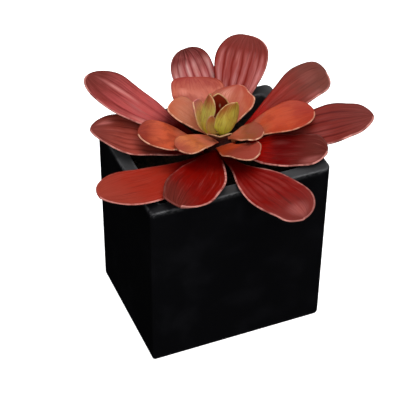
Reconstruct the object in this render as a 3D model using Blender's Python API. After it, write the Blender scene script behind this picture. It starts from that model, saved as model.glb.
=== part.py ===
"""Potted succulent: a rosette of ribbed red leaves on a short stem, standing in a tall black planter."""

from typing import NamedTuple

import bmesh
import bpy
import numpy as np

# Units: lengths below are in millimetres, angles in degrees
MM = 0.001
SEAT_GAP = 0.3

# Planter: an oblong box with a thick wall, a little narrower at its foot
POT_WIDTH = 153.0
POT_DEPTH = 121.0
POT_HEIGHT = 158.0
POT_WALL = 11.0
POT_FLOOR = 9.0
POT_FOOT_SHARE = 0.985
POT_CORNER_RADIUS = 6.0
POT_EDGE_BEVEL = 1.2
CORNER_STEPS = 6
POT_COLOUR = (0.008, 0.008, 0.009)
POT_SURFACE_ROUGHNESS = 0.5
POT_SHARP_ANGLE = 30.0

# Soil: its level below the rim, its low mound round the stem and its roughness
SOIL_BELOW_RIM = 22.0
SOIL_MOUND = 3.0
SOIL_ROUGHNESS = 0.7
SOIL_RING_SHARES = (0.98, 0.8, 0.6, 0.4)
SOIL_SEED = 7
SOIL_COLOUR = (0.012, 0.009, 0.007)
SOIL_SURFACE_ROUGHNESS = 0.95
SOIL_SHARP_ANGLE = 40.0

# Stem: it stands in a plain blind hole in the soil, off the planter's centre
STEM_X = 6.0
STEM_Y = 2.0
STEM_DEPTH_IN_SOIL = 12.0
STEM_SIDES = 28
STEM_COLOUR = (0.10, 0.045, 0.025)
STEM_SURFACE_ROUGHNESS = 0.8
STEM_SHARP_ANGLE = 40.0
# Height over the rim and radius at that height, from the soil to the top
STEM_PROFILE = ((-10.0, 12.5), (-3.0, 12.0), (1.0, 10.5), (5.0, 8.2), (8.0, 6.0), (11.0, 4.6), (13.0, 2.4))

# Leaf blade: shape rules that every leaf shares
MIDRIB_HANDLE = 0.38
ROLL_REACHED_AT = 0.6
ROOT_THICKNESS_ENDS_AT = 0.4
RIB_COUNT = 5
EDGE_WAVE_TURNS = 1.5
EDGE_WOBBLE_TURNS = 2.5
EDGE_WOBBLE_SHIFT = 2.0
SLANT_STARTS_AT = 0.3
TIP_POINT_POWER = 1.6
INNER_ROWS_SHARE = 0.85
LEAF_SHARP_ANGLE = 60.0


class Kind(NamedTuple):
    """What the leaves of one whorl have in common."""

    rows: int
    columns: int
    root_thickness: float
    middle_thickness: float
    edge_thickness: float
    rib_height: float
    edge_wave: float
    edge_wobble: float
    colour: tuple
    roughness: float


OUTER = Kind(14, 10, 3.2, 1.8, 1.0, 0.35, 0.8, 0.02, (0.27, 0.025, 0.02), 0.42)
MIDDLE = Kind(11, 8, 2.6, 1.6, 1.0, 0.0, 0.4, 0.025, (0.50, 0.07, 0.035), 0.45)
HEART = Kind(11, 8, 2.0, 1.2, 0.9, 0.0, 0.0, 0.015, (0.30, 0.32, 0.06), 0.4)


class Leaf(NamedTuple):
    """One leaf, from where it leaves the stem to its tip.

    heading turns anticlockwise from +X seen from above, and reach is the level distance from the stem's
    axis to the tip. root and tip are heights over the rim, rise and end_rise the slopes there. widest is
    the share of the length where the blade is widest, cup the angle that each half curls up, roll lifts
    the left half, bend carries the tip to the left, and slant leans the blade's end so that its left side
    reaches further than its right.
    """

    name: str
    kind: Kind
    heading: float
    reach: float
    root: float
    rise: float
    tip: float
    end_rise: float
    half_width: float
    widest: float = 0.7
    cup: float = 16.0
    roll: float = 0.0
    bend: float = 0.0
    root_share: float = 0.16
    swell: float = 1.3
    bluntness: float = 2.4
    point: float = 0.1
    slant: float = 0.0


LEAVES = (
    Leaf("outer_leaf_01", OUTER, 135, 120, -4, 13, 25, 20, 22.5, widest=0.72, roll=5, bend=-10.5,
         swell=1.9, bluntness=2.8),
    Leaf("outer_leaf_02", OUTER, 157, 102, -8, 9, 11, 10, 24, widest=0.66, point=0.4, slant=-12),
    Leaf("outer_leaf_03", OUTER, -151, 121, -5, 0, 12, 15, 21, roll=-5, bend=-20, bluntness=3.2,
         slant=-5),
    Leaf("outer_leaf_04", OUTER, -126, 89.5, -1, 8, 5, 0, 21.7, widest=0.66, bend=-9, swell=1.1,
         bluntness=4.5, slant=1),
    Leaf("outer_leaf_05", OUTER, -86, 111.2, -5.5, 9, 1, -10, 23, bend=16, swell=2.4, bluntness=2.8,
         slant=12),
    Leaf("outer_leaf_06", OUTER, -41, 86, -2, 5, 4.5, 3, 18, widest=0.54, roll=10, bend=12,
         bluntness=3.0, slant=20),
    Leaf("outer_leaf_07", OUTER, -13.5, 126, -8, 12, 12, 6, 19, widest=0.7, roll=15, swell=1.9,
         bluntness=2.3, point=0.4, slant=8),
    Leaf("outer_leaf_08", OUTER, 19.2, 120.3, -7, 20, 11.5, 3, 17.7, widest=0.77, roll=8, swell=2.8,
         bluntness=5.5, slant=18),
    Leaf("outer_leaf_09", OUTER, 53, 118.5, -4, 22, 23.5, 8, 22, widest=0.72, bend=4, swell=1.5,
         bluntness=2.8, slant=8),
    Leaf("outer_leaf_10", OUTER, 81.5, 116.5, -8, 22, 11, 5, 18.5, widest=0.72, swell=0.8,
         bluntness=2.8, slant=-18),
    Leaf("middle_leaf_01", MIDDLE, 89.5, 56.5, 2.5, 20, 26, 26, 22, roll=-2, swell=1.0,
         bluntness=5.5, root_share=0.18, slant=14),
    Leaf("middle_leaf_02", MIDDLE, 127.5, 44.5, 5, 34, 22.5, 8, 12, roll=-6, bluntness=4.0),
    Leaf("middle_leaf_03", MIDDLE, 169, 64, -0.5, 18, 14.5, 5, 18, bend=-4.5, root_share=0.26,
         swell=2.0, slant=-8),
    Leaf("middle_leaf_04", MIDDLE, -161, 41.5, 7, 23, 14, 1, 12, root_share=0.5, bluntness=4.0),
    Leaf("middle_leaf_05", MIDDLE, -83, 40, 3, 8, 12, 3, 15.7, cup=8, bend=14, root_share=0.45,
         bluntness=5.0),
    Leaf("middle_leaf_06", MIDDLE, -22, 35.5, 5.5, 16, 11, 2, 11.3),
    Leaf("middle_leaf_07", MIDDLE, -7, 79.5, 0, 22, 15.5, 3, 16.8, roll=3, swell=1.9, bluntness=3.0,
         slant=6),
    Leaf("middle_leaf_08", MIDDLE, 47, 48, 3.5, 44, 24, 16, 17, roll=6, point=0.5, slant=-15),
    Leaf("heart_leaf_01", HEART, 171, 8, 10, 25, 49.5, 112, 10.9, widest=0.68, cup=68,
         root_share=0.2, swell=2.6),
    Leaf("heart_leaf_02", HEART, 145, 21, 7.5, 40, 37, 80, 11.5, cup=35, root_share=0.18, bluntness=3.0),
    Leaf("heart_leaf_03", HEART, 73, 11.5, 8, 20, 40.5, 105, 11.2, widest=0.55, cup=50, root_share=0.2),
    Leaf("heart_leaf_04", HEART, -70, 11, 11.6, 31, 42.8, 100, 15, widest=0.5, cup=60, bend=7,
         root_share=0.18),
    Leaf("heart_leaf_05", HEART, -140, 13.7, 12.5, 20, 36.5, 95, 3.8, widest=0.62, cup=40,
         roll=50, root_share=0.32),
    Leaf("heart_leaf_06", HEART, -110, 12.1, 9.7, 18, 15.8, 62, 10.5, widest=0.6, cup=40,
         root_share=0.25),
)


def clear_scene():
    """Removes every object, so that only this model is left."""
    for thing in list(bpy.data.objects):
        bpy.data.objects.remove(thing)


def material(name, colour, roughness):
    """A plain Principled material."""
    made = bpy.data.materials.new(name)
    made.use_nodes = True
    shader = made.node_tree.nodes["Principled BSDF"]
    shader.inputs["Base Color"].default_value = (*colour, 1.0)
    shader.inputs["Roughness"].default_value = roughness
    shader.inputs["Metallic"].default_value = 0.0
    made.diffuse_color = (*colour, 1.0)
    return made


def finish(name, mesh, parent, finish_material, sharp_angle):
    """Turns a bmesh into a named, smooth-shaded object under its parent."""
    bmesh.ops.recalc_face_normals(mesh, faces=mesh.faces)
    data = bpy.data.meshes.new(name)
    mesh.to_mesh(data)
    mesh.free()
    data.materials.append(finish_material)
    data.shade_smooth()
    data.set_sharp_from_angle(angle=np.radians(sharp_angle))
    made = bpy.data.objects.new(name, data)
    bpy.context.scene.collection.objects.link(made)
    made.parent = parent
    return made


def skin(rings):
    """A closed bmesh with a strip of faces between neighbouring rings and a flat face at each end."""
    mesh = bmesh.new()
    loops = [[mesh.verts.new(point * MM) for point in ring] for ring in rings]
    for low, high in zip(loops, loops[1:]):
        for k in range(len(low)):
            after = (k + 1) % len(low)
            mesh.faces.new((low[k], low[after], high[after], high[k]))
    mesh.faces.new(reversed(loops[0]))
    mesh.faces.new(loops[-1])
    return mesh


def box_ring(half_x, half_y, radius, height):
    """Points round a rectangle with round corners, anticlockwise from above."""
    points = []
    for quarter, (side_x, side_y) in enumerate(((1, 1), (-1, 1), (-1, -1), (1, -1))):
        for turn in np.linspace(0.0, np.pi / 2, CORNER_STEPS + 1) + quarter * np.pi / 2:
            x = side_x * (half_x - radius) + radius * np.cos(turn)
            y = side_y * (half_y - radius) + radius * np.sin(turn)
            points.append((x, y, height))
    return np.array(points)


def pot_ring(inset, height):
    """The planter's outline at this height, drawn in by the inset."""
    share = POT_FOOT_SHARE + (1.0 - POT_FOOT_SHARE) * height / POT_HEIGHT
    radius = POT_CORNER_RADIUS - min(inset, POT_EDGE_BEVEL)
    return box_ring(POT_WIDTH / 2 * share - inset, POT_DEPTH / 2 * share - inset, radius, height)


def build_pot(parent):
    """The planter: the outside from the foot up, over the rim, and down the inside to the floor."""
    bevel = POT_EDGE_BEVEL
    rings = [
        pot_ring(bevel, 0.0),
        pot_ring(0.0, bevel),
        pot_ring(0.0, POT_HEIGHT - bevel),
        pot_ring(bevel, POT_HEIGHT),
        pot_ring(POT_WALL - bevel, POT_HEIGHT),
        pot_ring(POT_WALL, POT_HEIGHT - bevel),
        pot_ring(POT_WALL, POT_FLOOR),
    ]
    black = material("planter_black", POT_COLOUR, POT_SURFACE_ROUGHNESS)
    return finish("pot", skin(rings), parent, black, POT_SHARP_ANGLE)


def circle(radius, height, count):
    """Points round the stem's axis, anticlockwise from above."""
    turn = np.arange(count) * 2 * np.pi / count + np.pi / count
    level = np.full(count, height)
    return np.stack([STEM_X + radius * np.cos(turn), STEM_Y + radius * np.sin(turn), level], axis=1)


def soil_height():
    return POT_HEIGHT - SOIL_BELOW_RIM


def build_soil(parent):
    """The soil: it fills the planter, mounds up gently to the stem and has a blind hole for it."""
    edge = pot_ring(POT_WALL + SEAT_GAP, soil_height())
    hole_radius = stem_radius(-SOIL_BELOW_RIM) + SEAT_GAP
    hole = circle(hole_radius, soil_height() + SOIL_MOUND, len(edge))
    random = np.random.default_rng(SOIL_SEED)
    surface = []
    for share in SOIL_RING_SHARES:
        ring = hole + share * (edge - hole)
        ring[:, 2] += random.uniform(-SOIL_ROUGHNESS, SOIL_ROUGHNESS, len(ring))
        surface.append(ring)
    rings = [pot_ring(POT_WALL + SEAT_GAP, POT_FLOOR + SEAT_GAP), edge, *surface, hole]
    rings.append(circle(hole_radius, stem_foot() - SEAT_GAP, len(edge)))
    dark = material("soil_dark", SOIL_COLOUR, SOIL_SURFACE_ROUGHNESS)
    return finish("soil", skin(rings), parent, dark, SOIL_SHARP_ANGLE)


def stem_foot():
    return soil_height() - STEM_DEPTH_IN_SOIL


def stem_radius(over_rim):
    """The stem's radius at a height over the rim."""
    heights, radii = zip(*STEM_PROFILE)
    return float(np.interp(over_rim, heights, radii))


def build_stem(parent):
    """The short thick stem that every leaf grows from."""
    rings = [circle(STEM_PROFILE[0][1], stem_foot(), STEM_SIDES)]
    for over_rim, radius in STEM_PROFILE:
        rings.append(circle(radius, POT_HEIGHT + over_rim, STEM_SIDES))
    brown = material("stem_brown", STEM_COLOUR, STEM_SURFACE_ROUGHNESS)
    return finish("stem", skin(rings), parent, brown, STEM_SHARP_ANGLE)


def root_distance(leaf):
    """Level distance from the stem's axis to the middle of the leaf's root.

    The root ends square to the midrib, and its upper and lower corners both clear the stem by the seat gap.
    """
    half = leaf.kind.root_thickness / 2
    in_by = half * np.sin(np.radians(leaf.rise))
    up_by = half * np.cos(np.radians(leaf.rise))
    return SEAT_GAP + max(stem_radius(leaf.root + up_by) + in_by, stem_radius(leaf.root - up_by) - in_by)


def outline(leaf, share):
    """Half width along the leaf: it swells from the narrow root to the widest place, then rounds off."""
    inner = np.clip(share / leaf.widest, 0.0, 1.0)
    outer = np.clip((share - leaf.widest) / (1.0 - leaf.widest), 0.0, 1.0)
    swelling = leaf.root_share + (1.0 - leaf.root_share) * np.sin(np.pi / 2 * inner) ** leaf.swell
    rounded = np.sqrt(1.0 - outer**leaf.bluntness)
    pointed = 1.0 - outer**TIP_POINT_POWER
    closing = (1.0 - leaf.point) * rounded + leaf.point * pointed
    return leaf.half_width * np.where(share < leaf.widest, swelling, closing)


def row_shares(leaf):
    """Shares of the length at which the blade has a row of points, closer together at the tip."""
    inner_rows = round(leaf.kind.rows * leaf.widest * INNER_ROWS_SHARE)
    inner = np.linspace(0.0, leaf.widest, inner_rows + 1)
    turn = np.linspace(0.0, np.pi / 2, leaf.kind.rows - inner_rows + 1)[1:]
    return np.concatenate([inner, leaf.widest + (1.0 - leaf.widest) * np.sin(turn)])


def midrib(leaf, share):
    """Points along the middle of the leaf, on one cubic curve, and its direction there."""
    lean = np.radians([leaf.rise, leaf.end_rise])
    start = np.array([root_distance(leaf), POT_HEIGHT + leaf.root])
    end = np.array([leaf.reach, POT_HEIGHT + leaf.tip])
    handle = MIDRIB_HANDLE * np.linalg.norm(end - start)
    first = start + handle * np.array([np.cos(lean[0]), np.sin(lean[0])])
    second = end - handle * np.array([np.cos(lean[1]), np.sin(lean[1])])
    s, r = share[:, None], 1.0 - share[:, None]
    flat = r**3 * start + 3 * s * r**2 * first + 3 * s**2 * r * second + s**3 * end
    slope = r**2 * (first - start) + 2 * s * r * (second - first) + s**2 * (end - second)
    heading = np.radians(leaf.heading)
    outward = np.array([np.cos(heading), np.sin(heading), 0.0])
    left = np.array([-np.sin(heading), np.cos(heading), 0.0])
    up = np.array([0.0, 0.0, 1.0])
    axis = np.array([STEM_X, STEM_Y, 0.0])
    points = axis + flat[:, :1] * outward + leaf.bend * s**2 * left + flat[:, 1:] * up
    along = slope[:, :1] * outward + 2 / 3 * leaf.bend * s * left + slope[:, 1:] * up
    along /= np.linalg.norm(along, axis=1, keepdims=True)
    return points, along, left


def leaf_faces(leaf):
    """The blade's upper and lower points, as grids of rows along it and columns across it."""
    kind = leaf.kind
    share = row_shares(leaf)
    across = np.linspace(-1.0, 1.0, kind.columns + 1)
    points, along, left = midrib(leaf, share)
    side = left - (along @ left)[:, None] * along
    side /= np.linalg.norm(side, axis=1, keepdims=True)
    upward = np.cross(along, side)
    roll = np.radians(leaf.roll) * np.sin(np.pi / 2 * np.clip(share / ROLL_REACHED_AT, 0.0, 1.0))[:, None]
    side, upward = side * np.cos(roll) + upward * np.sin(roll), upward * np.cos(roll) - side * np.sin(roll)

    cup = np.radians(leaf.cup)
    curl = across * cup
    turns = EDGE_WOBBLE_TURNS * 2 * np.pi * share[:, None]
    wobble = np.sin(turns + EDGE_WOBBLE_SHIFT * across + np.radians(leaf.heading))
    half = outline(leaf, share)[:, None] * (1.0 + kind.edge_wobble * wobble)
    sideways = half * np.sin(curl) / cup
    lift = half * (1.0 - np.cos(curl)) / cup
    fade = np.sin(np.pi * share)[:, None]
    rib = kind.rib_height * fade * np.cos(np.pi * RIB_COUNT * across)
    phase = EDGE_WAVE_TURNS * 2 * np.pi * share + np.radians(leaf.heading)
    wave = kind.edge_wave * fade * np.sin(phase)[:, None] * across**3
    lift = lift + rib + wave
    slanting = np.clip((share - SLANT_STARTS_AT) / (1.0 - SLANT_STARTS_AT), 0.0, 1.0)[:, None]
    forward = np.tan(np.radians(leaf.slant)) * slanting * sideways
    middle = points[:, None] + sideways[..., None] * side[:, None] + lift[..., None] * upward[:, None]
    middle += forward[..., None] * along[:, None]
    outward = np.cos(curl)[:, None] * upward[:, None] - np.sin(curl)[:, None] * side[:, None]

    thinning = np.clip(share / ROOT_THICKNESS_ENDS_AT, 0.0, 1.0)[:, None]
    middle_thickness = kind.root_thickness + (kind.middle_thickness - kind.root_thickness) * thinning
    thickness = kind.edge_thickness + (middle_thickness - kind.edge_thickness) * (1.0 - across**2)
    offset = thickness[..., None] / 2 * outward
    return middle + offset, middle - offset


def leaf_mesh(leaf):
    """The closed blade: both faces split into the same triangles, with an edge strip between them."""
    upper, lower = leaf_faces(leaf)
    mesh = bmesh.new()
    grids = []
    for face in (upper, lower):
        grid = [[mesh.verts.new(point * MM) for point in row] for row in face[:-1]]
        tip = mesh.verts.new(face[-1].mean(axis=0) * MM)
        grids.append((grid, tip))
    last_column = leaf.kind.columns
    for grid, tip in grids:
        for row, after in zip(grid, grid[1:]):
            for k in range(last_column):
                mesh.faces.new((row[k], after[k], after[k + 1]))
                mesh.faces.new((row[k], after[k + 1], row[k + 1]))
        for k in range(last_column):
            mesh.faces.new((grid[-1][k], tip, grid[-1][k + 1]))
    (top, top_tip), (bottom, bottom_tip) = grids
    for column in (0, last_column):
        rim = [(row[column], under[column]) for row, under in zip(top, bottom)] + [(top_tip, bottom_tip)]
        for (a, b), (c, d) in zip(rim, rim[1:]):
            mesh.faces.new((a, c, d))
            mesh.faces.new((a, d, b))
    for k in range(last_column):
        mesh.faces.new((top[0][k], top[0][k + 1], bottom[0][k + 1]))
        mesh.faces.new((top[0][k], bottom[0][k + 1], bottom[0][k]))
    return mesh


def build_leaf(leaf, parent):
    """One leaf with its own material."""
    skin_material = material(leaf.name + "_skin", leaf.kind.colour, leaf.kind.roughness)
    return finish(leaf.name, leaf_mesh(leaf), parent, skin_material, LEAF_SHARP_ANGLE)


def main():
    clear_scene()
    plant = bpy.data.objects.new("potted_succulent", None)
    bpy.context.scene.collection.objects.link(plant)
    build_pot(plant)
    build_soil(plant)
    build_stem(plant)
    for leaf in LEAVES:
        build_leaf(leaf, plant)


main()
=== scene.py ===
"""Potted succulent: finely modelled leaves, planter, soil and stem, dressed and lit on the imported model."""

from functools import partial
from typing import NamedTuple

import bpy
import numpy as np
from bpy.props import FloatProperty, FloatVectorProperty, IntProperty, PointerProperty
from mathutils import Matrix, Vector


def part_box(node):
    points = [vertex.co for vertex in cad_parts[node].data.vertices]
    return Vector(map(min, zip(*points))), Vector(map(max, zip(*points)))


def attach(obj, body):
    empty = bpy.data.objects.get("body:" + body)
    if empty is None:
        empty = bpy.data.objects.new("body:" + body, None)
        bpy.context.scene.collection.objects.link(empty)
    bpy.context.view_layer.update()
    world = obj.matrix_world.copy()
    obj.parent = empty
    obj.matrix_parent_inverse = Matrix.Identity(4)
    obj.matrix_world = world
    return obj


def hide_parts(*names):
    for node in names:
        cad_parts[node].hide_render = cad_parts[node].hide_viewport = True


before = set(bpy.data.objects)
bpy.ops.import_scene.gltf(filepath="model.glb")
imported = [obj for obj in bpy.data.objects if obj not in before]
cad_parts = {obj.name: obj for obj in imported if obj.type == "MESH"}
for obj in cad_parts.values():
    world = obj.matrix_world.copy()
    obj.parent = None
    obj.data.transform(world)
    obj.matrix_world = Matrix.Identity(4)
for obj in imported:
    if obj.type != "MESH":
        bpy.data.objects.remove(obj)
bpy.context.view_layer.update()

bl_info = {
    "name": "Potted Succulent",
    "version": (1, 0, 0),
    "blender": (4, 5, 0),
    "location": "3D View > Sidebar > Succulent",
    "description": "Builds a red succulent rosette in a black planter",
    "category": "Add Mesh",
}

MM = 0.001

# Planter, read from the frame
POT_LOW, POT_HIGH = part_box("pot")
SOIL_LOW, SOIL_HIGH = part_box("soil")
POT_WIDTH = POT_HIGH.x - POT_LOW.x
POT_DEPTH = POT_HIGH.y - POT_LOW.y
POT_HEIGHT = POT_HIGH.z - POT_LOW.z
POT_FOOT_SHARE = 0.985
POT_WALL = (POT_WIDTH - (SOIL_HIGH.x - SOIL_LOW.x)) / 2
SEAT_GAP = 0.3
POT_FLOOR = SOIL_LOW.z - SEAT_GAP * MM

# Planter mesh: steps round it and up it, and how far from its front left corner the rim's painted sheen fades
# into painted shade
SIDE_STEPS = 24
CORNER_STEPS = 14
EDGE_STEPS = 6
OUTSIDE_STEPS = 30
INSIDE_STEPS = 24
RIM_TOP_STEPS = 4
EDGE_ROOM = 3.5
CORNER_SHADE_REACH = 60 * MM
# Painted sheen: the rim and, weaker, the inner wall are painted paler grey, standing in for the light that
# they reflect
PAINTED_SHEEN_GREY = (0.075, 0.075, 0.078, 1.0)
# Worn, paler edges: partly wear and partly a painted highlight along the rounded edges
WORN_AND_HIGHLIT_EDGE = (0.085, 0.085, 0.09, 1.0)

# Stem: its axis, and its height over the rim and radius from the soil to the top
STEM_LOW, STEM_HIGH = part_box("stem")
STEM_X = (STEM_LOW.x + STEM_HIGH.x) / 2
STEM_Y = (STEM_LOW.y + STEM_HIGH.y) / 2
STEM_PROFILE = (
    (-34.0, 12.5), (-10.0, 12.5), (-3.0, 12.0), (1.0, 10.5),
    (5.0, 8.2), (8.0, 6.0), (11.0, 4.6), (13.0, 2.4),
)
STEM_ROWS = 120
STEM_COLUMNS = 96

# Soil: its level and its low mound round the stem, its wavelengths in millimetres, and its crumbs
SOIL_BELOW_RIM = 22.0
SOIL_LEVEL = POT_HEIGHT - SOIL_BELOW_RIM * MM
SOIL_MOUND = 3.0 * MM
SOIL_ROWS = 60
SOIL_WAVES = (30, 19, 12, 8, 5.5, 4, 3)
SOIL_LEVEL_EDGE = 0.04
SOIL_SEED = 11
CRUMB_SEED = 5
CRUMBS_OFF_WALL = 3 * MM
CRUMBS_OFF_STEM = 2.5 * MM

# Leaf blade: shape rules that every leaf shares
MIDRIB_HANDLE = 0.38
ROLL_REACHED_AT = 0.6
ROOT_THICKNESS_ENDS_AT = 0.4
GROOVE_POWER = 1.8
CREASE_WIDTH = 0.07
EDGE_WAVE_TURNS = 1.5
EDGE_WOBBLE_TURNS = 2.5
EDGE_WOBBLE_SHIFT = 2.0
SLANT_STARTS_AT = 0.3
TIP_POINT_POWER = 1.6
UNDULATION_TURNS = (1.1, 1.9, 3.1)
INNER_ROW_SHARE = 0.8
COLUMN_CROWDING = 0.9
RIM_STEPS = 6


class Kind(NamedTuple):
    """What the leaves of one whorl share: a first seed, mesh rows and columns, and sizes in millimetres."""

    slot: str
    first_seed: int
    rows: int
    columns: int
    root_thickness: float
    middle_thickness: float
    edge_thickness: float
    rib_height: float
    edge_wave: float
    edge_wobble: float
    vein_height: float
    vein_count: int
    crease: float
    undulation: float


OUTER = Kind("outer_leaf", 0, 84, 64, 3.2, 1.8, 1.0, 0.35, 0.8, 0.02, 0.025, 17, 0.0, 0.35)
MIDDLE = Kind("middle_leaf", 10, 64, 48, 2.6, 1.6, 1.0, 0.0, 0.4, 0.025, 0.03, 11, 0.25, 0.3)
HEART = Kind("heart_leaf", 18, 56, 36, 2.0, 1.2, 0.9, 0.0, 0.0, 0.015, 0.04, 9, 0.0, 0.12)


class Patch(NamedTuple):
    """An oval patch of painted sheen: its middle, its half sizes and its strength."""

    across: float
    along: float
    half_width: float
    half_length: float
    strength: float


class Corner(NamedTuple):
    """A corner in a leaf's outline, or a hollow where negative.

    side is 1 on the left and -1 on the right, along and half_length say where it lies, and out and
    forward are how far the edge moves there in millimetres.
    """

    side: int
    along: float
    half_length: float
    out: float
    forward: float = 0.0


# Pale colours for the painted highlights and the pale fibres; salmon is also a tip colour
PINK = (0.76, 0.44, 0.42)
SALMON = (0.86, 0.52, 0.44)
CREAM = (0.88, 0.78, 0.50)

# Leaf colours as display values
GARNET = (0.30, 0.00, 0.00)
WINE = (0.39, 0.01, 0.01)
OXBLOOD = (0.50, 0.08, 0.05)
CRIMSON = (0.47, 0.02, 0.00)
SCARLET = (0.57, 0.06, 0.02)
FLAME = (0.66, 0.05, 0.01)
RASPBERRY = (0.68, 0.16, 0.18)
RUSSET = (0.47, 0.13, 0.10)
BRICK = (0.52, 0.12, 0.08)
RUST = (0.59, 0.15, 0.09)
TERRACOTTA = (0.58, 0.24, 0.19)
VERMILION = (0.65, 0.22, 0.15)
ROSE = (0.68, 0.29, 0.29)
ORCHID = (0.81, 0.39, 0.47)
COCOA = (0.24, 0.08, 0.05)
MAHOGANY = (0.36, 0.15, 0.12)
CLAY = (0.44, 0.20, 0.18)
UMBER = (0.42, 0.25, 0.22)
COPPER = (0.53, 0.28, 0.15)
PERSIMMON = (0.71, 0.27, 0.13)
TANGERINE = (0.75, 0.33, 0.20)
CORAL = (0.69, 0.35, 0.23)
AMBER = (0.76, 0.42, 0.24)
SAND = (0.70, 0.42, 0.31)
PEACH = (0.78, 0.42, 0.33)
APRICOT = (0.88, 0.48, 0.36)
OCHRE = (0.82, 0.58, 0.34)
HONEY = (0.81, 0.69, 0.34)
BUTTER = (0.90, 0.81, 0.45)
CITRON = (0.86, 0.80, 0.32)
LEMON = (0.88, 0.90, 0.43)
LIME = (0.79, 0.85, 0.23)


class Leaf(NamedTuple):
    """One leaf: its form in millimetres and degrees, its colours, and how its skin's patterns show.

    heading turns anticlockwise from +X seen from above, and reach is the level distance from the stem's
    axis to the tip. root and tip are heights over the rim, rise and end_rise the slopes there. widest is
    the share of the length where the blade is widest, cup the angle that each half curls up, roll lifts
    the left half, bend carries the tip to the left, and slant leans the blade's end so that its left side
    reaches further than its right.

    Places along run from 0 at the root to 1 at the tip, places across from -1 at the right edge to 1 at
    the left. A pair for the rim is its strength on the right and on the left; the pale rim is partly the
    leaf's own colour and partly a painted highlight on the side that faces the light.
    """

    kind: Kind
    heading: float
    reach: float
    root: float
    rise: float
    tip: float
    end_rise: float
    half_width: float
    root_colour: tuple
    flesh_colour: tuple
    tip_colour: tuple
    widest: float = 0.7
    cup: float = 16.0
    roll: float = 0.0
    bend: float = 0.0
    root_share: float = 0.16
    swell: float = 1.3
    bluntness: float = 2.4
    point: float = 0.1
    slant: float = 0.0
    bloom: tuple = PINK
    back: tuple = (0.42, 0.14, 0.11)
    back_strength: float = 0.6
    tip_start: float = 0.8
    tip_lean: float = 0.0
    ribs: int = 5
    rib_depth: float = 1.0
    groove: float = 0.4
    stripe: float = 0.15
    stripe_span: tuple = (0.3, 0.75)
    fold: float = 0.0
    streak: float = 0.5
    mottle: float = 0.15
    rim: tuple = (0.5, 0.5)
    rim_width: float = 0.9
    gleam: float = 0.07
    patches: tuple = ()
    corners: tuple = ()


outer_leaf = partial(Leaf, OUTER)
middle_leaf = partial(
    Leaf, MIDDLE, bloom=SALMON, stripe=0.0, groove=0.0, streak=0.16, mottle=0.4, rim_width=0.7, gleam=0.25,
)
heart_leaf = partial(
    Leaf, HEART, bloom=CREAM, back_strength=0.0, stripe=0.0, groove=0.0, tip_start=0.74, mottle=0.25,
    rim_width=0.45, gleam=0.3,
)
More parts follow.
